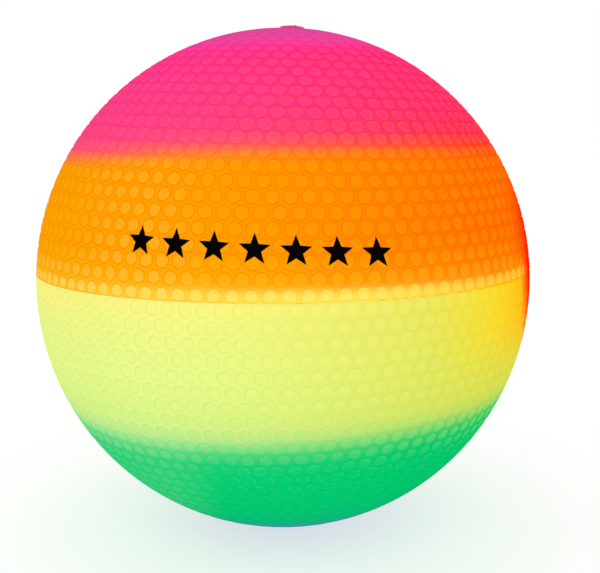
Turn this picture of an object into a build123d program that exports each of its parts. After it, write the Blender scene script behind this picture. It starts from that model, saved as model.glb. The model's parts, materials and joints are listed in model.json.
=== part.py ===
from build123d import *
from math import cos, radians, sin, sqrt
import os

# Inflatable vinyl play ball with a needle valve, in millimetres.
# The origin is the centre of the ball. +Z is the mould axis, square to the parting line,
# and the valve sits close to the top pole, leaning a little towards +X.

# Ball: a nominal 216 mm ball that air pressure leaves slightly longer along its valve axis
ball_width = 215.0
ball_length = 217.7
wall_thickness = 1.6

# Parting line of the mould: a fine half-round bead all the way round
parting_height = 6.4
parting_bead_radius = 0.35
parting_bead_proud = 0.12

# Valve position and the collar that shows outside the skin
valve_lean = 2.5
collar_height = 1.05
collar_top_radius = 4.9
collar_base_radius = 6.4
collar_edge_radius = 0.5
neck_radius = 4.0

# Small moulded pips on the collar's flat top
pip_count = 3
pip_radius = 0.8
pip_circle_radius = 3.75
pip_proud = 0.45
pip_start_angle = -70

# Inside end of the collar: a bead that holds it behind the skin, and the barrel
bead_radius = 4.9
bead_depth = 3.2
bead_taper_end = 4.6
barrel_radius = 3.8
barrel_depth = 10.0
air_hole_radius = 1.5

# Rubber valve core and the stepped socket that holds it
core_radius = 2.6
core_collar_radius = 3.2
core_collar_top = 3.4
core_collar_bottom = 5.6
core_collar_chamfer = 0.5
core_depth = 8.6
core_nose_radius = 2.0
core_nose_length = 1.0
lip_height = 0.35
lip_inner_radius = 1.8

# Needle passage: a funnel mouth over a round passage for a 2.1 mm inflating needle
needle_bore_radius = 1.1
needle_bore_top = -0.3
needle_bore_length = 6.0


lean = radians(valve_lean)
lean_x_dir = (cos(lean), 0, -sin(lean))
valve_direction = Vector(sin(lean), 0, cos(lean))
valve_point = valve_direction * (ball_length / 2)
valve_axis = Axis(valve_point, valve_direction)

# Skin profiles are drawn on a plane through the ball's centre and the valve axis
skin_section = Plane(origin=(0, 0, 0), x_dir=lean_x_dir, z_dir=(0, -1, 0))
# Valve profiles are drawn on the same plane as (radius, height above the skin)
valve_section = Plane(origin=valve_point, x_dir=lean_x_dir, z_dir=(0, -1, 0))
valve_mouth = Plane(origin=valve_point, x_dir=lean_x_dir, z_dir=valve_direction)


# Skin: one hollow moulding with the parting-line bead and the hole for the valve
half_width = ball_width / 2
half_length = ball_length / 2
parting_radius = half_width * sqrt(1 - (parting_height / half_length) ** 2)

with BuildPart() as ball_skin:
    with BuildSketch(skin_section):
        Ellipse(half_width, half_length)
        with Locations((half_width, 0)):
            Rectangle(ball_width, 2 * ball_length, mode=Mode.INTERSECT)
    revolve(axis=valve_axis)
    with BuildSketch(Plane.XZ):
        with Locations((parting_radius + parting_bead_proud - parting_bead_radius, parting_height)):
            Circle(parting_bead_radius)
    revolve(axis=Axis.Z)
    with BuildSketch(skin_section):
        Ellipse(half_width - wall_thickness, half_length - wall_thickness)
        with Locations((half_width, 0)):
            Rectangle(ball_width, 2 * ball_length, mode=Mode.INTERSECT)
    revolve(axis=valve_axis, mode=Mode.SUBTRACT)
    with Locations(valve_mouth):
        Hole(neck_radius, depth=3 * wall_thickness)
ball_skin.part.label = "ball_skin"


# The socket wall that collar and core share, from the collar's top down
socket_outline = [
    (core_radius, collar_height),
    (core_radius, -core_collar_top),
    (core_collar_radius, -core_collar_top - core_collar_chamfer),
    (core_collar_radius, -core_collar_bottom + core_collar_chamfer),
    (core_radius, -core_collar_bottom),
    (core_radius, -core_depth + core_nose_length),
]

# Collar: a soft flanged bush pushed through the hole and bonded to the skin on both sides
with BuildPart() as valve_collar:
    with BuildSketch(valve_section) as collar_section:
        with BuildLine():
            Polyline(
                *socket_outline,
                (core_radius, -core_depth),
                (air_hole_radius, -core_depth),
                (air_hole_radius, -barrel_depth),
                (barrel_radius, -barrel_depth),
                (barrel_radius, -bead_taper_end),
                (bead_radius, -bead_depth),
                (bead_radius, -wall_thickness / 2),
                (collar_base_radius, -wall_thickness / 2),
                (collar_base_radius, -wall_thickness / 4),
                (collar_top_radius, collar_height),
                close=True,
            )
        make_face()
        flange_edge = collar_section.vertices().group_by(Axis.Y)[-1].sort_by(Axis.X)[-1]
        fillet(flange_edge, radius=collar_edge_radius)
    revolve(axis=valve_axis)
    with Locations(valve_mouth.offset(collar_height + pip_proud - pip_radius)):
        with PolarLocations(pip_circle_radius, pip_count, start_angle=pip_start_angle):
            Sphere(pip_radius)
    add(ball_skin.part, mode=Mode.SUBTRACT)
valve_collar.part.label = "valve_collar"


# Core: a stepped rubber plug with a rounded lip, a funnel and a blind needle passage.
# The slit below the passage is shut, as it is with no needle in it.
needle_bore_bottom = needle_bore_top - needle_bore_length
lip_crest_radius = (lip_inner_radius + core_radius) / 2

with BuildPart() as valve_core:
    with BuildSketch(valve_section):
        with BuildLine():
            ThreePointArc(
                (lip_inner_radius, collar_height),
                (lip_crest_radius, collar_height + lip_height),
                (core_radius, collar_height),
            )
            Polyline(
                *socket_outline,
                (core_nose_radius, -core_depth),
                (0, -core_depth),
                (0, needle_bore_bottom),
                (needle_bore_radius, needle_bore_bottom),
                (needle_bore_radius, needle_bore_top),
                (lip_inner_radius, collar_height),
            )
        make_face()
    revolve(axis=valve_axis)
valve_core.part.label = "valve_core"


os.makedirs("parts", exist_ok=True)
for piece in (ball_skin, valve_collar, valve_core):
    export_step(piece.part, f"parts/{piece.part.label}.step")
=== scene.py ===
import json
from math import asin, cos, pi, radians, sin, tau
from types import SimpleNamespace

import bpy
import bmesh
import numpy as np
from mathutils import Matrix, Vector
from mathutils.geometry import delaunay_2d_cdt


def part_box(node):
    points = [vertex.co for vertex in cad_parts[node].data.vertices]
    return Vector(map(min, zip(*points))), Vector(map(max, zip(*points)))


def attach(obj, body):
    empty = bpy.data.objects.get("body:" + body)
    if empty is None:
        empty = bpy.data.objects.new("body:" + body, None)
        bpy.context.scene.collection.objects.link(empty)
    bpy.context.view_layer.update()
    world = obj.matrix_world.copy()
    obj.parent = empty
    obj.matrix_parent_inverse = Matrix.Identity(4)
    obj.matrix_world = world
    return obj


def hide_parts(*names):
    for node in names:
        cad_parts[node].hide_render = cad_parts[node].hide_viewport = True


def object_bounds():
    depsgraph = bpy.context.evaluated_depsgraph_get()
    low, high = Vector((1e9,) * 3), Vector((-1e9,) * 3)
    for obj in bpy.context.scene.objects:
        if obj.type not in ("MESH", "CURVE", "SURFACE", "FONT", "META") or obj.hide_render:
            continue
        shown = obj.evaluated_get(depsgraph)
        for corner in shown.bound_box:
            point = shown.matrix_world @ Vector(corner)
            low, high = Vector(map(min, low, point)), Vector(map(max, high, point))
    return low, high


# Inflatable vinyl play ball. The CAD skin is smooth: here it gets its grip discs, its parting
# line and its sprayed colours. The valve's collar and core are the CAD's own.

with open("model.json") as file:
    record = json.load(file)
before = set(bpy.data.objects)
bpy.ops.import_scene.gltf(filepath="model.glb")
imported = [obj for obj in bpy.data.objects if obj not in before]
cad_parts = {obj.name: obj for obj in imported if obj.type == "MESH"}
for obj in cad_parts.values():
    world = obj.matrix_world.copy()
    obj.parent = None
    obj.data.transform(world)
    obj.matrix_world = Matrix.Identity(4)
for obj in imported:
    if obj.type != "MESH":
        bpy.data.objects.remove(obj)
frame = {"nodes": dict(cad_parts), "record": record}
cad_low, cad_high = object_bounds()

MM = 0.001
UP = np.array([0.0, 0.0, 1.0])


# ---------------------------------------------------------------- the ball's own sizes

skin_low, skin_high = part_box("ball_skin")
HALF_WIDTH = (skin_high[1] - skin_low[1]) / 2
HALF_LENGTH = (skin_high[2] - skin_low[2]) / 2
WALL = 1.6 * MM
PARTING_HEIGHT = 6.4 * MM
PARTING_LATITUDE = asin(PARTING_HEIGHT / HALF_WIDTH)

needle_bore = next(m for m in frame["record"]["mounts"] if m["name"] == "needle_bore")
VALVE = np.array(needle_bore["axis"])
VALVE_HOLE_RADIUS = 5.2 * MM
VALVE_CLEAR_RADIUS = 9.2 * MM

# Parting bead: (distance from the parting plane, height), from the skin up to the plane
BEAD_PROFILE = ((0.20 * MM, 0.0), (0.11 * MM, 0.09 * MM), (0.0, 0.12 * MM))
PARTING_POINTS = 384
VALVE_POINTS = 48

# Grip discs: (radius, height above the skin, points, relief), where relief drives the colour, with
# the painted shade and highlights: -1 in the moat at the foot, 0 on plain skin and 1 on the rim
DISC_LEVELS = (
    (2.94 * MM, 0.0, 12, 0.0),
    (2.60 * MM, -0.03 * MM, 12, -1.0),
    (2.30 * MM, 0.20 * MM, 12, 1.0),
    (1.60 * MM, 0.15 * MM, 6, 0.3),
    (0.0, 0.14 * MM, 1, 0.3),
)
DISC_REACH = DISC_LEVELS[0][0]
DISC_TOP = DISC_LEVELS[2][1]
DISCS_AROUND = 102
FIRST_PHASE = {1: 0.32, -1: 0.65}

# Rows of discs above (1) and below (-1) the parting line: row numbers, and their degrees from it
ROWS = {1: ((0, 8, 28), (1.22, 27.4, 86.6)), -1: ((0, 30), (1.58, 93.4))}

# How near the parting line a disc's edge may come, and how much further each level keeps off it
PARTING_GAP = 0.28 * MM
PARTING_GAP_STEP = 0.12 * MM
GROUND_POINT_GAP = 0.40 * MM


def spheroid(directions, height=0.0):
    """The points of the skin, or of a surface a height above it, along some unit directions."""
    along = directions @ VALVE
    radius = 1 / np.sqrt((1 - along**2) / HALF_WIDTH**2 + (along / HALF_LENGTH) ** 2)
    return directions * (radius + height)[..., None]


def unit(vectors):
    return vectors / np.linalg.norm(vectors, axis=-1, keepdims=True)


def tangents(directions):
    """East and north at each direction; the pole takes +X as its east."""
    east = np.cross(UP, directions)
    flat = np.linalg.norm(east, axis=-1) < 1e-6
    east[flat] = (1.0, 0.0, 0.0)
    east = unit(east)
    return east, np.cross(directions, east)


def ring(directions, radius, count):
    """Directions of `count` points on a circle of this radius round each direction."""
    east, north = tangents(directions)
    turn = tau * (np.arange(count) + 0.5) / count
    spread = np.cos(turn)[:, None] * east[:, None] + np.sin(turn)[:, None] * north[:, None]
    return unit(directions[:, None] + radius / HALF_WIDTH * spread)


# ---------------------------------------------------------------- where the discs stand


def ramp_up(value, full):
    return min(max(value / full, 0.0), 1.0)


def row_lean(above):
    """How far, in degrees, a row's own axis leans to +X and to the front, `above` the parting."""
    clear = abs(above) - 1.6
    if above > 0:
        fade = 1 - ramp_up(above - 35, 40)
        return 2.5 * ramp_up(clear, 50), 1.3 * ramp_up(clear, 25) * fade
    return -2.1 * ramp_up(clear, 28), 1.4 * ramp_up(clear, 28)


def lean(points, to_x, to_front):
    a, b = radians(to_x), radians(to_front)
    about_y = np.array([[cos(a), 0, sin(a)], [0, 1, 0], [-sin(a), 0, cos(a)]])
    about_x = np.array([[1, 0, 0], [0, cos(b), -sin(b)], [0, sin(b), cos(b)]])
    return points @ (about_x @ about_y).T


def disc_directions(side, rng):
    """Centres of the discs on the half above (side 1) or below (side -1) the parting line."""
    numbers, heights = ROWS[side]
    found = []
    for k in range(numbers[-1] + 1):
        above = side * float(np.interp(k, numbers, heights))
        latitude = PARTING_LATITUDE + radians(above)
        count = max(1, round(DISCS_AROUND * cos(latitude)))
        phase = FIRST_PHASE[side] + 0.5 * (k % 2) + rng.uniform(-0.08, 0.08)
        turn = tau * (np.arange(count) + phase + rng.normal(0, 0.012, count)) / count
        lat = latitude + radians(0.02) * rng.normal(0, 1, count) * (k > 0)
        points = np.stack([np.cos(lat) * np.sin(turn), -np.cos(lat) * np.cos(turn), np.sin(lat)], 1)
        found.append(lean(points, *row_lean(above)))
    points = np.concatenate(found)
    reach = np.linalg.norm(points - VALVE, axis=1) * HALF_WIDTH
    return points[reach > VALVE_CLEAR_RADIUS]


def disc_sizes(centres, rng):
    """Scale of each disc's radius, which keeps it clear of its nearest neighbour."""
    gap = np.linalg.norm(centres[:, None] - centres[None], axis=-1) * HALF_WIDTH
    np.fill_diagonal(gap, 1.0)
    room = (gap.min(axis=1) / 2 - 0.08 * MM) / DISC_REACH
    return np.minimum(rng.uniform(0.98, 1.02, len(centres)), room)


def keep_clear(directions, gap, side):
    """The directions, shifted along their meridians to stay this far from the parting line."""
    nearest = sin(PARTING_LATITUDE + side * gap / HALF_WIDTH)
    z = directions[..., 2]
    level = np.where(side * z < side * nearest, nearest, z)
    shrink = np.sqrt((1 - level**2) / np.maximum(1 - z**2, 1e-12))
    return np.stack([directions[..., 0] * shrink, directions[..., 1] * shrink, level], axis=-1)


def disc_points(centres, size, side, rng):
    """The points of every disc, level by level, as (discs, points, 3)."""
    east, north = tangents(centres)
    oval, trefoil = rng.uniform(0, tau, (2, len(centres), 1))
    levels = []
    for level, (radius, height, count, _) in enumerate(DISC_LEVELS):
        turn = tau * np.arange(count) / count
        uneven = 1 + 0.018 * np.cos(2 * (turn - oval)) + 0.010 * np.cos(3 * (turn - trefoil))
        reach = radius * size[:, None] * (uneven if level else 1.0) / HALF_WIDTH
        spread = np.cos(turn)[:, None] * east[:, None] + np.sin(turn)[:, None] * north[:, None]
        points = unit(centres[:, None] + reach[..., None] * spread)
        points = keep_clear(points, PARTING_GAP + level * PARTING_GAP_STEP, side)
        levels.append(spheroid(points, height))
    return np.concatenate(levels, axis=1)


def disc_faces():
    """Faces of one disc over its own points: edge, moat, rim, dish and centre."""
    n = DISC_LEVELS[0][2]
    faces = []
    for start in (0, n):
        for i in range(n):
            j = (i + 1) % n
            inner, next_inner = start + n + i, start + n + j
            faces += [(start + i, start + j, next_inner), (start + i, next_inner, inner)]
    rim, dish, centre = 2 * n, 3 * n, 3 * n + n // 2
    for i in range(n // 2):
        j = (i + 1) % (n // 2)
        left, middle, right = rim + 2 * i, rim + 2 * i + 1, rim + (2 * i + 2) % n
        faces += [(left, middle, dish + i), (middle, dish + j, dish + i), (middle, right, dish + j)]
        faces.append((dish + i, dish + j, centre))
    return np.array(faces)


# ---------------------------------------------------------------- the two halves of the skin


def parallel(distance, side, count):
    """Directions of points round the parting line, a distance from its plane."""
    latitude = PARTING_LATITUDE + side * distance / HALF_WIDTH
    turn = tau * np.arange(count) / count
    level = np.full(count, sin(latitude))
    return np.stack([cos(latitude) * np.sin(turn), -cos(latitude) * np.cos(turn), level], 1)


def triangulate(directions, loops, side):
    """Triangles over points of one half, which keep every loop's edges."""
    flat = directions[:, :2] / (1 + side * directions[:, 2:])
    edges = [(int(a), int(b)) for loop in loops for a, b in zip(loop, np.roll(loop, -1))]
    result = delaunay_2d_cdt([Vector(p) for p in flat.tolist()], edges, [], 0, 1e-9)
    if len(result[0]) != len(flat):
        raise ValueError("rings on the skin cross each other")
    return np.array(result[2])


def gap_directions(centres, side):
    """Points in the wider gaps between discs, which hold the skin at its true height."""
    corners = centres[triangulate(centres, [], side)]
    middle = unit(corners.mean(axis=1))
    reach = np.linalg.norm(corners - middle[:, None], axis=-1) * HALF_WIDTH
    from_valve = np.linalg.norm(middle - VALVE, axis=1) * HALF_WIDTH
    near = reach.min(axis=1) > DISC_REACH + GROUND_POINT_GAP
    return middle[near & (reach.max(axis=1) < 8 * MM) & (from_valve > VALVE_HOLE_RADIUS + 3 * MM)]


class Skin:
    """Points and faces of one half of the skin, with the values that place its paint and its
    painted shade and highlights.
    """

    def __init__(self):
        self.points, self.relief, self.rise, self.faces, self.sharp = [], [], [], [], []
        self.count = 0

    def add(self, points, relief=0.0, rise=0.0):
        start = self.count
        self.points.append(points)
        self.relief.append(np.broadcast_to(relief, len(points)))
        self.rise.append(np.broadcast_to(rise, len(points)))
        self.count += len(points)
        return np.arange(start, self.count)

    def strip(self, a, b):
        """A band of quads between two loops of as many points each."""
        self.faces += np.stack([a, np.roll(a, -1), np.roll(b, -1), b], 1).tolist()

    def crease(self, loop):
        self.sharp += [tuple(sorted(e)) for e in zip(loop.tolist(), np.roll(loop, -1).tolist())]


def add_discs(skin, centres, side, rng):
    """Adds the discs to the skin and gives the loop of points round each."""
    block = disc_points(centres, disc_sizes(centres, rng), side, rng)
    relief = np.concatenate([np.full(count, relief) for _, _, count, relief in DISC_LEVELS])
    turns = [tau * np.arange(count) / count for _, _, count, _ in DISC_LEVELS]
    # rise is how far up each point sits round its disc: it splits the painted moat shade into sides
    # facing up and down
    rise = np.concatenate([np.sin(turn) for turn in turns])
    at = skin.add(block.reshape(-1, 3), np.tile(relief, len(centres)), np.tile(rise, len(centres)))
    at = at.reshape(len(centres), -1)
    skin.faces += (at[:, :1, None] + disc_faces()[None]).reshape(-1, 3).tolist()
    return at[:, :DISC_LEVELS[0][2]]


def add_ground(skin, edges, holes, loose, side):
    """Adds the skin between the outer edges, leaving every hole's own loop open."""
    loops = [*edges, *holes]
    used = np.concatenate([*loops, loose])
    starts = np.cumsum([0] + [len(loop) for loop in loops])
    local = [np.arange(a, b) for a, b in zip(starts, starts[1:])]
    owner = np.full(len(used), -1)
    for k, loop in enumerate(local[len(edges):]):
        owner[loop] = k
    points = np.concatenate(skin.points)[used]
    faces = triangulate(unit(points), local, side)
    whose = owner[faces]
    in_hole = (whose[:, 0] >= 0) & (whose == whose[:, :1]).all(axis=1)
    skin.faces += used[faces[~in_hole]].tolist()


def skin_half(name, side, rng):
    skin = Skin()
    centres = disc_directions(side, rng)
    discs = add_discs(skin, centres, side, rng)
    edge = skin.add(spheroid(parallel(BEAD_PROFILE[0][0], side, PARTING_POINTS)))
    holes = list(discs)
    lining_holes = []
    if side > 0:
        hole_directions = ring(VALVE[None], VALVE_HOLE_RADIUS, VALVE_POINTS)[0]
        holes.append(skin.add(spheroid(hole_directions)))
        lining_holes.append(skin.add(spheroid(hole_directions, -WALL)))
        skin.strip(holes[-1], lining_holes[-1])
    gaps = skin.add(spheroid(gap_directions(centres, side)))
    add_ground(skin, [edge], holes, gaps, side)

    # The bead, the face where the halves meet, and the inside
    for distance, height in BEAD_PROFILE[1:]:
        crest = skin.add(spheroid(parallel(distance, side, PARTING_POINTS), height))
        skin.strip(edge, crest)
        edge = crest
    inner_edge = skin.add(spheroid(parallel(0.0, side, PARTING_POINTS), -WALL))
    skin.strip(edge, inner_edge)
    skin.crease(edge)
    skin.crease(inner_edge)
    sparse = centres[::5]
    sparse = sparse[np.abs(sparse[:, 2] - sin(PARTING_LATITUDE)) > 0.05]
    inside = skin.add(spheroid(sparse, -WALL))
    add_ground(skin, [inner_edge], lining_holes, inside, side)
    return make_piece(name, skin)


def make_piece(name, skin):
    mesh = bpy.data.meshes.new(name)
    mesh.from_pydata(np.concatenate(skin.points).tolist(), [], skin.faces)
    for key, values in (("relief", skin.relief), ("rise", skin.rise)):
        attribute = mesh.attributes.new(key, "FLOAT", "POINT")
        attribute.data.foreach_set("value", np.concatenate(values).astype(np.float32))
    build = bmesh.new()
    build.from_mesh(mesh)
    bmesh.ops.recalc_face_normals(build, faces=build.faces)
    build.edges.ensure_lookup_table()
    sharp = set(skin.sharp)
    for edge in build.edges:
        edge.smooth = tuple(sorted(v.index for v in edge.verts)) not in sharp
    for face in build.faces:
        face.smooth = True
    build.to_mesh(mesh)
    build.free()
    piece = bpy.data.objects.new(name, mesh)
    bpy.context.collection.objects.link(piece)
    return piece


# ---------------------------------------------------------------- material helpers


def linear(r, g, b):
    """A colour given as 0-255 display values, in Blender's linear values."""
    return tuple(c / 12.92 if c <= 0.04045 else ((c + 0.055) / 1.055) ** 2.4
                 for c in (r / 255, g / 255, b / 255)) + (1.0,)


class Nodes:
    """A material and short calls that add its nodes."""

    def __init__(self, name):
        self.material = bpy.data.materials.new(name)
        self.material.use_nodes = True
        self.tree = self.material.node_tree
        self.shader = self.tree.nodes["Principled BSDF"]

    def put(self, kind, **settings):
        node = self.tree.nodes.new(kind)
        for key, value in settings.items():
            setattr(node, key, value)
        return node

    def feed(self, socket, value):
        if isinstance(value, bpy.types.NodeSocket):
            self.tree.links.new(value, socket)
        else:
            socket.default_value = value

    def math(self, operation, *values):
        node = self.put("ShaderNodeMath", operation=operation)
        for socket, value in zip(node.inputs, values):
            self.feed(socket, value)
        return node.outputs[0]

    def times(self, *values):
        """The product of two or more values."""
        product = values[0]
        for value in values[1:]:
            product = self.math("MULTIPLY", product, value)
        return product

    def vector(self, operation, *values, out=0):
        node = self.put("ShaderNodeVectorMath", operation=operation)
        for socket, value in zip(node.inputs, values):
            self.feed(socket, value)
        return node.outputs[out]

    def smooth(self, value, low, high, to_low=0.0, to_high=1.0):
        node = self.put("ShaderNodeMapRange", interpolation_type="SMOOTHSTEP")
        for i, v in enumerate((value, low, high, to_low, to_high)):
            self.feed(node.inputs[i], v)
        return node.outputs[0]

    def noise(self, where, scale, detail=2.0):
        node = self.put("ShaderNodeTexNoise")
        self.feed(node.inputs["Vector"], where)
        node.inputs["Scale"].default_value = scale
        node.inputs["Detail"].default_value = detail
        return node.outputs["Fac"]

    def blend(self, factor, a, b, mode="MIX"):
        node = self.put("ShaderNodeMix", data_type="RGBA", blend_type=mode)
        for i, v in zip((0, 6, 7), (factor, a, b)):
            self.feed(node.inputs[i], v)
        return node.outputs[2]

    def ramp(self, factor, stops):
        """Colour and alpha outputs of a ramp over (position, colour) stops."""
        node = self.put("ShaderNodeValToRGB")
        self.feed(node.inputs[0], factor)
        elements = node.color_ramp.elements
        while len(elements) < len(stops):
            elements.new(0.5)
        for element, (position, colour) in zip(elements, sorted(stops)):
            element.position = position
            element.color = colour
        return node.outputs[0], node.outputs[1]

    def bump(self, height, strength, distance):
        node = self.put("ShaderNodeBump")
        node.inputs["Strength"].default_value = strength
        node.inputs["Distance"].default_value = distance
        self.feed(node.inputs["Height"], height)
        self.feed(self.shader.inputs["Normal"], node.outputs[0])

    def set(self, **values):
        for key, value in values.items():
            self.feed(self.shader.inputs[key.replace("_", " ")], value)


# ---------------------------------------------------------------- the sprayed skin

# Paints are given by degrees above the parting line, in display colours. The spray bands lean:
# they stand higher towards +X, as far as half a radius out, and the upper ones bow down again.
BAND_LEAN = 2.4
BAND_LEAN_REACH = 0.5
BAND_BOW = 2.6
BOW_FROM, BOW_FULL = 10.0, 25.0

# The skin itself: (height, colour towards -X, colour towards +X)
SKIN_PAINT = (
    (86, (216, 66, 150), (214, 66, 144)), (66, (232, 68, 158), (230, 66, 150)),
    (62.5, (250, 54, 154), (250, 48, 136)), (58, (253, 50, 138), (253, 36, 100)),
    (40, (253, 58, 134), (253, 40, 88)), (33.5, (253, 66, 132), (253, 42, 62)),
    (31, (253, 86, 110), (253, 58, 16)), (29.6, (253, 116, 70), (253, 80, 4)),
    (28.2, (253, 147, 16), (253, 94, 0)), (26.5, (253, 157, 0), (253, 99, 0)),
    (10, (253, 161, 0), (253, 100, 0)), (6, (253, 172, 4), (253, 110, 0)),
    (3, (253, 180, 8), (253, 122, 0)), (0.05, (253, 184, 14), (253, 126, 0)),
    (-0.05, (251, 246, 138), (228, 214, 60)), (-4, (240, 249, 142), (218, 212, 62)),
    (-14, (231, 251, 146), (216, 214, 60)), (-20, (225, 249, 142), (214, 215, 68)),
    (-25, (217, 246, 143), (212, 215, 72)), (-28, (196, 240, 148), (180, 211, 82)),
    (-30, (144, 229, 147), (104, 204, 88)), (-32, (80, 217, 135), (44, 197, 94)),
    (-35, (20, 211, 125), (4, 196, 101)), (-40, (2, 210, 121), (0, 195, 103)),
    (-50, (0, 208, 118), (0, 194, 106)), (-60, (2, 200, 122), (6, 190, 118)),
    (-64, (14, 190, 136), (24, 178, 134)),
    (-67, (60, 166, 176), (66, 152, 184)), (-90, (70, 150, 190), (76, 140, 194)),
)

# Yellow paint that crept over the parting line, at the middle and towards +X, and how high
CREPT_PAINT = ((253, 226, 84), (252, 214, 20))
CREPT_TOP = 4.2

# Layers over the skin: (height, colour, strength). First painted shade in the moat and on the side
# of each disc, with one colour where it faces up and one where it faces down.
MOAT_SHADE_UP = (
    (86, (205, 55, 140), 0.3), (60, (253, 26, 96), 0.6), (50, (253, 56, 80), 0.75),
    (42, (253, 84, 62), 0.85), (34, (253, 100, 42), 0.9), (30, (253, 110, 16), 0.7),
    (26, (253, 92, 0), 0.4), (5, (253, 100, 0), 0.4), (2.5, (253, 150, 10), 0.25),
    (0.4, (253, 190, 40), 0.2), (-0.4, (244, 232, 66), 0.5), (-6, (216, 236, 70), 0.5),
    (-14, (202, 235, 74), 0.5), (-24, (186, 233, 86), 0.5), (-31, (80, 210, 114), 0.5),
    (-36, (0, 196, 106), 0.5), (-60, (0, 182, 104), 0.3), (-90, (50, 150, 170), 0.3),
)
MOAT_SHADE_DOWN = (
    (86, (225, 80, 165), 0.1), (60, (253, 28, 110), 0.35), (36, (253, 36, 96), 0.5),
    (31, (253, 80, 40), 0.45), (27, (253, 92, 0), 0.35), (6, (253, 96, 0), 0.4),
    (2.5, (253, 150, 10), 0.25), (0.4, (253, 190, 40), 0.2), (-0.4, (254, 230, 66), 0.6),
    (-7, (250, 236, 72), 0.55), (-13, (240, 241, 80), 0.45), (-26, (220, 241, 98), 0.3),
    (-33, (60, 210, 118), 0.3), (-60, (0, 194, 112), 0.2), (-90, (55, 155, 175), 0.2),
)

# Then painted highlights on the tops of the discs and on their rims, and a pale painted sheen on
# tops turned to -X
TOPS_HIGHLIGHT = (
    (86, (245, 150, 200), 0.03), (64, (255, 140, 190), 0.05), (45, (255, 122, 178), 0.1),
    (36, (255, 104, 162), 0.1), (33, (255, 112, 130), 0.14), (30.6, (255, 140, 60), 0.18),
    (28.6, (255, 172, 40), 0.13), (26, (255, 192, 8), 0.12), (7, (255, 194, 8), 0.12),
    (5, (255, 204, 40), 0.15), (3.5, (255, 204, 40), 0.15), (0.4, (252, 225, 90), 0.12),
    (-0.4, (238, 243, 122), 0.3),
    (-20, (228, 245, 126), 0.3), (-29, (152, 231, 132), 0.36), (-33, (94, 217, 125), 0.42),
    (-37, (26, 208, 118), 0.25), (-45, (0, 207, 118), 0.2), (-90, (70, 172, 190), 0.1),
)
RIMS_HIGHLIGHT = (
    (86, (245, 130, 190), 0.1), (60, (255, 125, 185), 0.14), (34, (255, 130, 160), 0.16),
    (26, (255, 196, 10), 0.18), (4, (255, 205, 30), 0.16), (0.4, (254, 228, 90), 0.16),
    (-0.4, (244, 246, 132), 0.35), (-28, (214, 244, 136), 0.4), (-33, (120, 222, 136), 0.6),
    (-50, (70, 212, 128), 0.3), (-60, (50, 204, 138), 0.2), (-90, (80, 180, 195), 0.15),
)
MINUS_X_SHEEN = (
    (31, (255, 160, 90), 0), (26, (255, 200, 70), 0.16), (12, (255, 205, 76), 0.16),
    (3, (255, 212, 100), 0.2), (0, (255, 220, 120), 0), (-27, (215, 245, 170), 0),
    (-31, (176, 236, 160), 0.24), (-37, (130, 226, 152), 0.24), (-46, (116, 224, 152), 0.32),
)

# The heights that a ramp covers. A ramp keeps 256 steps, so paint heights stay one step, or
# RAMP_STEP, away from the parting line, where the colour changes at once.
PAINT_LOW, PAINT_SPAN = -95.0, 190.0
RAMP_STEP = 0.76
PAINT_GAIN = 0.96

# Red and gold patches on the +X side: (distance from their centre in ball radii, colour,
# strength), red over everything and gold only on the yellow band
PATCH_CENTRE = (0.996, -0.035, 0.087)
RED_PATCH = (
    (0.04, (240, 8, 6), 1), (0.25, (255, 3, 0), 1), (0.33, (255, 34, 0), 0.95),
    (0.43, (255, 82, 0), 0.7), (0.56, (255, 110, 0), 0),
)
# Under the red, a painted highlight on disc tops and painted shade in the moats
RED_HIGHLIGHT_ON_TOPS = (255, 70, 30)
RED_SHADE_IN_MOATS = (205, 0, 0)
GOLD_PATCH = (
    (0.24, (255, 116, 0), 1), (0.34, (255, 160, 0), 0.95), (0.48, (254, 188, 0), 0.85),
    (0.74, (253, 212, 10), 0.6), (1.0, (250, 224, 40), 0),
)

# Towards the parting line, the red's edge at this reach gets sharper
RED_EDGE = 0.32
RED_EDGE_SHARPER = 0.9
RED_EDGE_FROM, RED_EDGE_FULL = 4.6, 2.6

FIRST_ROW_PAINT = (252, 235, 112)
FIRST_ROW_TOP = 3.1
FLASH_PAINT = (238, 160, 14)
FLASH_HALF_WIDTH = 0.11
INK = (6, 5, 4)

# Plain printed stars on the front
STAR_COUNT = 7
STAR_PITCH = 14.4 * MM
STAR_TIP = 5.9 * MM
STAR_NOTCH = 2.5 * MM
STAR_ROW_LONGITUDE = radians(-5.5)
STAR_ROW_ABOVE = radians(10.0)
STAR_ROW_FALL = 0.05
STAR_ROW_RADIUS = HALF_WIDTH * cos(0.23)
STAR_EDGE = 0.06 * MM


def star_mask(n, along, up):
    """1 inside a row of five-pointed stars, from distances along and up from its middle."""
    half = (STAR_COUNT - 1) / 2
    place = n.math("ROUND", n.math("DIVIDE", along, STAR_PITCH))
    place = n.math("MINIMUM", n.math("MAXIMUM", place, -half), half)
    x = n.math("SUBTRACT", along, n.math("MULTIPLY", place, STAR_PITCH))
    radius = n.math("SQRT", n.math("ADD", n.math("MULTIPLY", x, x), n.math("MULTIPLY", up, up)))
    turn = n.math("PINGPONG", n.math("ARCTAN2", x, up), pi / 5)
    to_notch = n.math("SINE", n.math("SUBTRACT", pi / 5, turn))
    to_tip = n.math("SINE", turn)
    across = n.math("MULTIPLY_ADD", to_tip, STAR_TIP, n.math("MULTIPLY", to_notch, STAR_NOTCH))
    edge = n.math("DIVIDE", STAR_TIP * STAR_NOTCH * sin(pi / 5), across)
    return n.smooth(n.math("SUBTRACT", edge, radius), -STAR_EDGE, STAR_EDGE)


def height_ramp(n, above, stops):
    """Colour and strength at a height, from (height, colour, strength) stops."""
    where = n.math("DIVIDE", n.math("SUBTRACT", above, PAINT_LOW), PAINT_SPAN)
    return n.ramp(where, [((h - PAINT_LOW) / PAINT_SPAN, paint(c, a)) for h, c, a in stops])


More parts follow.
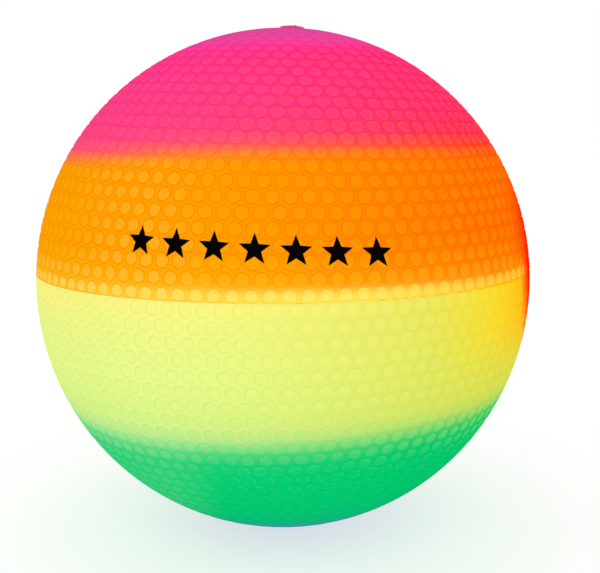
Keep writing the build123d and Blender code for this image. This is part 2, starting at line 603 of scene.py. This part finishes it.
def paint(colour, strength):
    return tuple(PAINT_GAIN * c for c in linear(*colour)[:3]) + (strength,)


def coat(n, under, above, layer, mask):
    """Lays a layer of paint over a colour, through a mask."""
    colour, strength = height_ramp(n, above, layer)
    return n.blend(n.math("MULTIPLY", strength, mask), under, colour)


def masked_height(n, direction, x, z):
    """Degrees above the parting line, twice: as measured, and as the spray saw it. Spray edges
    lean, wander and are a little grainy, but they stop dead at the parting line."""
    parting = float(np.degrees(PARTING_LATITUDE))
    above = n.math("SUBTRACT", n.math("DEGREES", n.math("ARCSINE", z)), parting)
    wander = n.math("MULTIPLY_ADD", n.noise(direction, 3.0), 1.2, -0.6)
    grain = n.math("MULTIPLY_ADD", n.noise(direction, 200.0, 1.0), 0.7, -0.35)
    leaning = n.math("MULTIPLY_ADD", n.math("MINIMUM", x, BAND_LEAN_REACH), -BAND_LEAN, above)
    bow = n.math("MULTIPLY", n.math("MULTIPLY", x, n.math("ADD", x, 0.6)), BAND_BOW)
    bowed = n.math("MULTIPLY_ADD", bow, n.smooth(above, BOW_FROM, BOW_FULL), leaning)
    sprayed = n.math("ADD", bowed, n.math("ADD", wander, grain))
    upper = n.math("GREATER_THAN", above, 0.0)
    over = n.math("MULTIPLY", n.math("MAXIMUM", sprayed, RAMP_STEP), upper)
    lower = n.math("SUBTRACT", 1.0, upper)
    under = n.math("MULTIPLY", n.math("MINIMUM", sprayed, -RAMP_STEP), lower)
    return above, n.math("ADD", over, under)


def base_coat(n, at):
    """The bands, and the yellow that crept over the parting line from below."""
    minus_x, _ = height_ramp(n, at.masked, [(h, c, 1) for h, c, _ in SKIN_PAINT])
    plus_x, _ = height_ramp(n, at.masked, [(h, c, 1) for h, _, c in SKIN_PAINT])
    colour = n.blend(n.smooth(at.x, -0.6, 0.95), minus_x, plus_x)
    ragged = n.math("MULTIPLY_ADD", n.noise(at.direction, 8.0), 0.8, at.above)
    crept = n.smooth(ragged, CREPT_TOP, n.smooth(at.x, 0.0, 0.8, 1.1, 0.2))
    crept = n.times(crept, at.upper, n.smooth(at.x, -1.0, 0.15, 0.1, 0.92))
    crept = n.times(crept, n.smooth(at.x, 0.3, 1.05, 1.0, 0.5))
    centre, far = (paint(c, 1) for c in CREPT_PAINT)
    return n.blend(crept, colour, n.blend(n.smooth(at.x, 0.2, 0.95), centre, far))


def disc_coats(n, colour, at):
    """Painted light on the discs: painted highlights on their tops and rims, a pale painted sheen
    towards -X, and painted shade in the moats at their feet.
    """
    green = n.smooth(at.masked, -24.0, -29.0)
    faded = n.math("MAXIMUM", n.smooth(at.x, 0.1, 0.7, 1.0, 0.6), green)
    faded = n.math("MAXIMUM", faded, at.upper)
    outward = n.times(at.x, at.x, n.smooth(at.masked, -24.0, -32.0, 0.0, 5.0))
    colour = coat(n, colour, n.math("ADD", at.masked, outward), TOPS_HIGHLIGHT, n.times(at.top, faded))
    # Random patches where the rims carry their painted highlight
    rim_patches = n.smooth(n.noise(at.direction, 70.0, 3.0), 0.44, 0.62)
    whole = n.math("MAXIMUM", rim_patches, n.smooth(at.masked, -27.0, -20.0))
    colour = coat(n, colour, at.masked, RIMS_HIGHLIGHT, n.times(at.rim, faded, whole))

    # The painted sheen fades out on the far -X side, high above the parting line
    low = n.math("SUBTRACT", 1.0, n.smooth(at.masked, 6.0, 10.0))
    facing = n.times(n.smooth(at.x, -0.2, -0.45), n.smooth(at.x, -0.8, -0.5, low, 1.0))
    sheen_mask = n.math("MAXIMUM", at.top, n.smooth(at.masked, -26.0, -30.0, 0.0, 0.5))
    colour = coat(n, colour, at.masked, MINUS_X_SHEEN, n.times(sheen_mask, facing))
    # Painted shade in the moats: one colour where a disc's side faces up, another where it faces
    # down
    up, down = n.smooth(at.rise, -0.5, 0.7), n.smooth(at.rise, 0.5, -0.7)
    colour = coat(n, colour, at.masked, MOAT_SHADE_UP, n.times(at.moat, up))
    return coat(n, colour, at.masked, MOAT_SHADE_DOWN, n.times(at.moat, down))


def first_row_coat(n, colour, at):
    """Paint from below also reached the tops of the first row above the parting line."""
    row = n.smooth(at.above, FIRST_ROW_TOP, FIRST_ROW_TOP - 0.3)
    first = n.times(row, at.upper, at.top, n.smooth(at.x, -1.0, 0.0, 0.3, 0.6))
    first = n.times(first, n.smooth(at.x, 0.0, 0.8, 1.0, 0.4))
    first = n.times(first, n.smooth(at.relief, 0.7, 0.95, 0.8, 1.2))
    bare = n.smooth(n.noise(at.direction, 110.0, 2.0), 0.54, 0.64, 1.0, 0.4)
    return n.blend(n.times(first, bare), colour, paint(FIRST_ROW_PAINT, 1))


def plus_x_patches(n, colour, at):
    """Gold on the yellow band of the +X side, then red over everything there, with a painted
    highlight on the disc tops and painted shade in the moats under the red.
    """
    yellow = n.times(n.math("LESS_THAN", at.above, 0.0), n.smooth(at.masked, -27.0, -6.0))
    sharper = n.smooth(at.above, RED_EDGE_FROM, RED_EDGE_FULL, 0.0, RED_EDGE_SHARPER)
    red_reach = n.math("MULTIPLY_ADD", n.math("SUBTRACT", at.reach, RED_EDGE), sharper, at.reach)
    for layer, far, mask in ((GOLD_PATCH, at.reach, yellow), (RED_PATCH, red_reach, 1.0)):
        spray, strength = n.ramp(far, [(distance, paint(c, a)) for distance, c, a in layer])
        colour = n.blend(n.times(strength, mask), colour, spray)
    reddened = n.smooth(red_reach, 0.45, 0.2, 0.0, 0.4)
    colour = n.blend(n.times(at.moat, reddened), colour, paint(RED_SHADE_IN_MOATS, 1))
    return n.blend(n.times(at.top, reddened, 0.4), colour, paint(RED_HIGHLIGHT_ON_TOPS, 1))


def flash_line(n, colour, at):
    """A thread of flash along the parting line, mostly towards +X."""
    close = n.smooth(n.math("ABSOLUTE", at.above), FLASH_HALF_WIDTH, FLASH_HALF_WIDTH - 0.06)
    reached = n.math("MULTIPLY_ADD", at.x, 0.3, n.noise(at.direction, 30.0, 2.0))
    outside_red = n.smooth(at.reach, 0.28, 0.42, 0.0, 0.6)
    flash = n.times(close, n.smooth(reached, 0.61, 0.68), outside_red)
    return n.blend(flash, colour, paint(FLASH_PAINT, 1))


def printed_stars(n, colour, at):
    longitude = n.math("ARCTAN2", at.x, n.math("MULTIPLY", at.y, -1.0))
    along = n.times(n.math("SUBTRACT", longitude, STAR_ROW_LONGITUDE), STAR_ROW_RADIUS)
    higher = n.math("SUBTRACT", n.math("RADIANS", at.above), STAR_ROW_ABOVE)
    up = n.math("MULTIPLY_ADD", along, STAR_ROW_FALL, n.times(higher, HALF_WIDTH))
    return n.blend(star_mask(n, along, up), colour, linear(*INK))


def skin_material():
    n = Nodes("sprayed_vinyl")
    direction = n.vector("NORMALIZE", n.put("ShaderNodeTexCoord").outputs["Object"])
    axes = n.put("ShaderNodeSeparateXYZ")
    n.feed(axes.inputs[0], direction)
    x, y, z = axes.outputs
    above, masked = masked_height(n, direction, x, z)
    relief = n.put("ShaderNodeAttribute", attribute_name="relief").outputs["Fac"]
    rise = n.put("ShaderNodeAttribute", attribute_name="rise").outputs["Fac"]
    reach = n.vector("DISTANCE", direction, PATCH_CENTRE, out="Value")
    reach = n.math("MULTIPLY_ADD", n.noise(direction, 5.0), 0.10, n.math("SUBTRACT", reach, 0.05))
    # moat, top and rim mask the painted shade in the moats and the painted highlights on tops and
    # rims
    at = SimpleNamespace(
        direction=direction, x=x, y=y, above=above, masked=masked, relief=relief, rise=rise,
        reach=reach, upper=n.math("GREATER_THAN", above, 0.0), moat=n.smooth(relief, 0.0, -0.5),
        top=n.smooth(relief, 0.02, 0.3), rim=n.smooth(relief, 0.6, 1.0),
    )
    colour = base_coat(n, at)
    for layer in (disc_coats, first_row_coat, plus_x_patches, flash_line, printed_stars):
        colour = layer(n, colour, at)

    roughness = n.smooth(n.noise(direction, 20.0, 4.0), 0.3, 0.7, 0.40, 0.52)
    # No specular: the skin's gloss is only the painted highlights and sheen
    n.set(Base_Color=colour, Roughness=roughness, Specular_IOR_Level=0.0)
    n.bump(n.noise(direction, 420.0, 3.0), 0.12, 0.05 * MM)
    return n.material


def valve_material(name, colour, dark, roughness, grain):
    """Soft moulded plastic or rubber, tinted by spray in random mottles of two tones, one a little
    darker.
    """
    n = Nodes(name)
    place = n.put("ShaderNodeTexCoord").outputs["Object"]
    spray = n.smooth(n.noise(place, 900.0, 3.0), 0.3, 0.7)
    n.set(Base_Color=n.blend(spray, linear(*colour), linear(*dark)))
    mottle = n.smooth(n.noise(place, 1500.0, 2.0), 0.3, 0.7, roughness - 0.06, roughness + 0.06)
    n.set(Roughness=mottle, Specular_IOR_Level=0.25)
    n.bump(n.noise(place, grain, 3.0), 0.2, 0.03 * MM)
    return n.material


# ---------------------------------------------------------------- pieces

SEED = 11

rng = np.random.default_rng(SEED)
skin_vinyl = skin_material()
for piece_name, side in (("skin_upper", 1), ("skin_lower", -1)):
    piece = skin_half(piece_name, side, rng)
    piece.data.materials.append(skin_vinyl)
    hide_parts("ball_skin")
    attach(piece, "root")

VALVE_FINISHES = {
    "valve_collar": valve_material("collar_vinyl", (212, 44, 120), (190, 30, 104), 0.42, 5000.0),
    "valve_core": valve_material("core_rubber", (150, 24, 82), (120, 16, 62), 0.62, 7000.0),
}
for node, material in VALVE_FINISHES.items():
    for material_slot in frame["nodes"][node].material_slots:
        material_slot.material = material


# ---------------------------------------------------------------- floor, lights and camera

FLOOR_DROP = DISC_TOP
FLOOR_SIZE = 8.0
FLOOR_GREYS = (0.36, 0.38)
FLOOR_GLOW = 0.63


def floor():
    mesh = bpy.data.meshes.new("studio_floor")
    level = cad_low[2] - FLOOR_DROP
    h = FLOOR_SIZE / 2
    corners = [(-h, -h, level), (h, -h, level), (h, h, level), (-h, h, level)]
    mesh.from_pydata(corners, [], [(0, 1, 2, 3)])
    obj = bpy.data.objects.new("studio_floor", mesh)
    bpy.context.collection.objects.link(obj)
    n = Nodes("pale_floor")
    place = n.put("ShaderNodeTexCoord").outputs["Object"]
    n.set(Base_Color=n.blend(n.noise(place, 3.0), *((g, g, g, 1) for g in FLOOR_GREYS)))
    n.set(Roughness=0.9, Specular_IOR_Level=0.1)
    n.set(Emission_Color=(1.0, 1.0, 1.0, 1.0), Emission_Strength=FLOOR_GLOW)
    mesh.materials.append(n.material)


def softbox(name, place, size, power):
    data = bpy.data.lights.new(name, "AREA")
    data.shape = "SQUARE"
    data.size = size
    data.energy = power
    light = bpy.data.objects.new(name, data)
    light.location = place
    light.rotation_euler = (-Vector(place)).to_track_quat("-Z", "Y").to_euler()
    bpy.context.collection.objects.link(light)


def studio():
    world = bpy.data.worlds.new("studio")
    world.use_nodes = True
    background = world.node_tree.nodes["Background"]
    background.inputs["Color"].default_value = (1.0, 1.0, 1.0, 1.0)
    background.inputs["Strength"].default_value = 1.0
    bpy.context.scene.world = world
    softbox("key", (-0.2, -1.3, 1.2), 0.7, 1.4)
    softbox("low", (0.9, -1.1, 0.05), 0.7, 2.4)
    bpy.context.scene.view_settings.view_transform = "Standard"


CAMERA_DISTANCE = 0.4607
CAMERA_ELEVATION = radians(8.14)
CAMERA_ROLL = radians(-0.62)
CAMERA_TURN = radians(0.90)
CAMERA_TILT = radians(-0.47)
CAMERA_LENS = 61.6


def camera():
    data = bpy.data.cameras.new("camera")
    data.lens = CAMERA_LENS
    data.sensor_width = 36.0
    data.clip_start = 0.01
    obj = bpy.data.objects.new("camera", data)
    bpy.context.collection.objects.link(obj)
    obj.location = CAMERA_DISTANCE * Vector((0, -cos(CAMERA_ELEVATION), sin(CAMERA_ELEVATION)))
    level = (-obj.location).to_track_quat("-Z", "Y").to_matrix()
    turned = (Matrix.Rotation(CAMERA_ROLL, 3, "Z") @ Matrix.Rotation(-CAMERA_TURN, 3, "Y")
              @ Matrix.Rotation(CAMERA_TILT, 3, "X"))
    obj.rotation_euler = (level @ turned).to_euler()
    bpy.context.scene.camera = obj


floor()
studio()
camera()
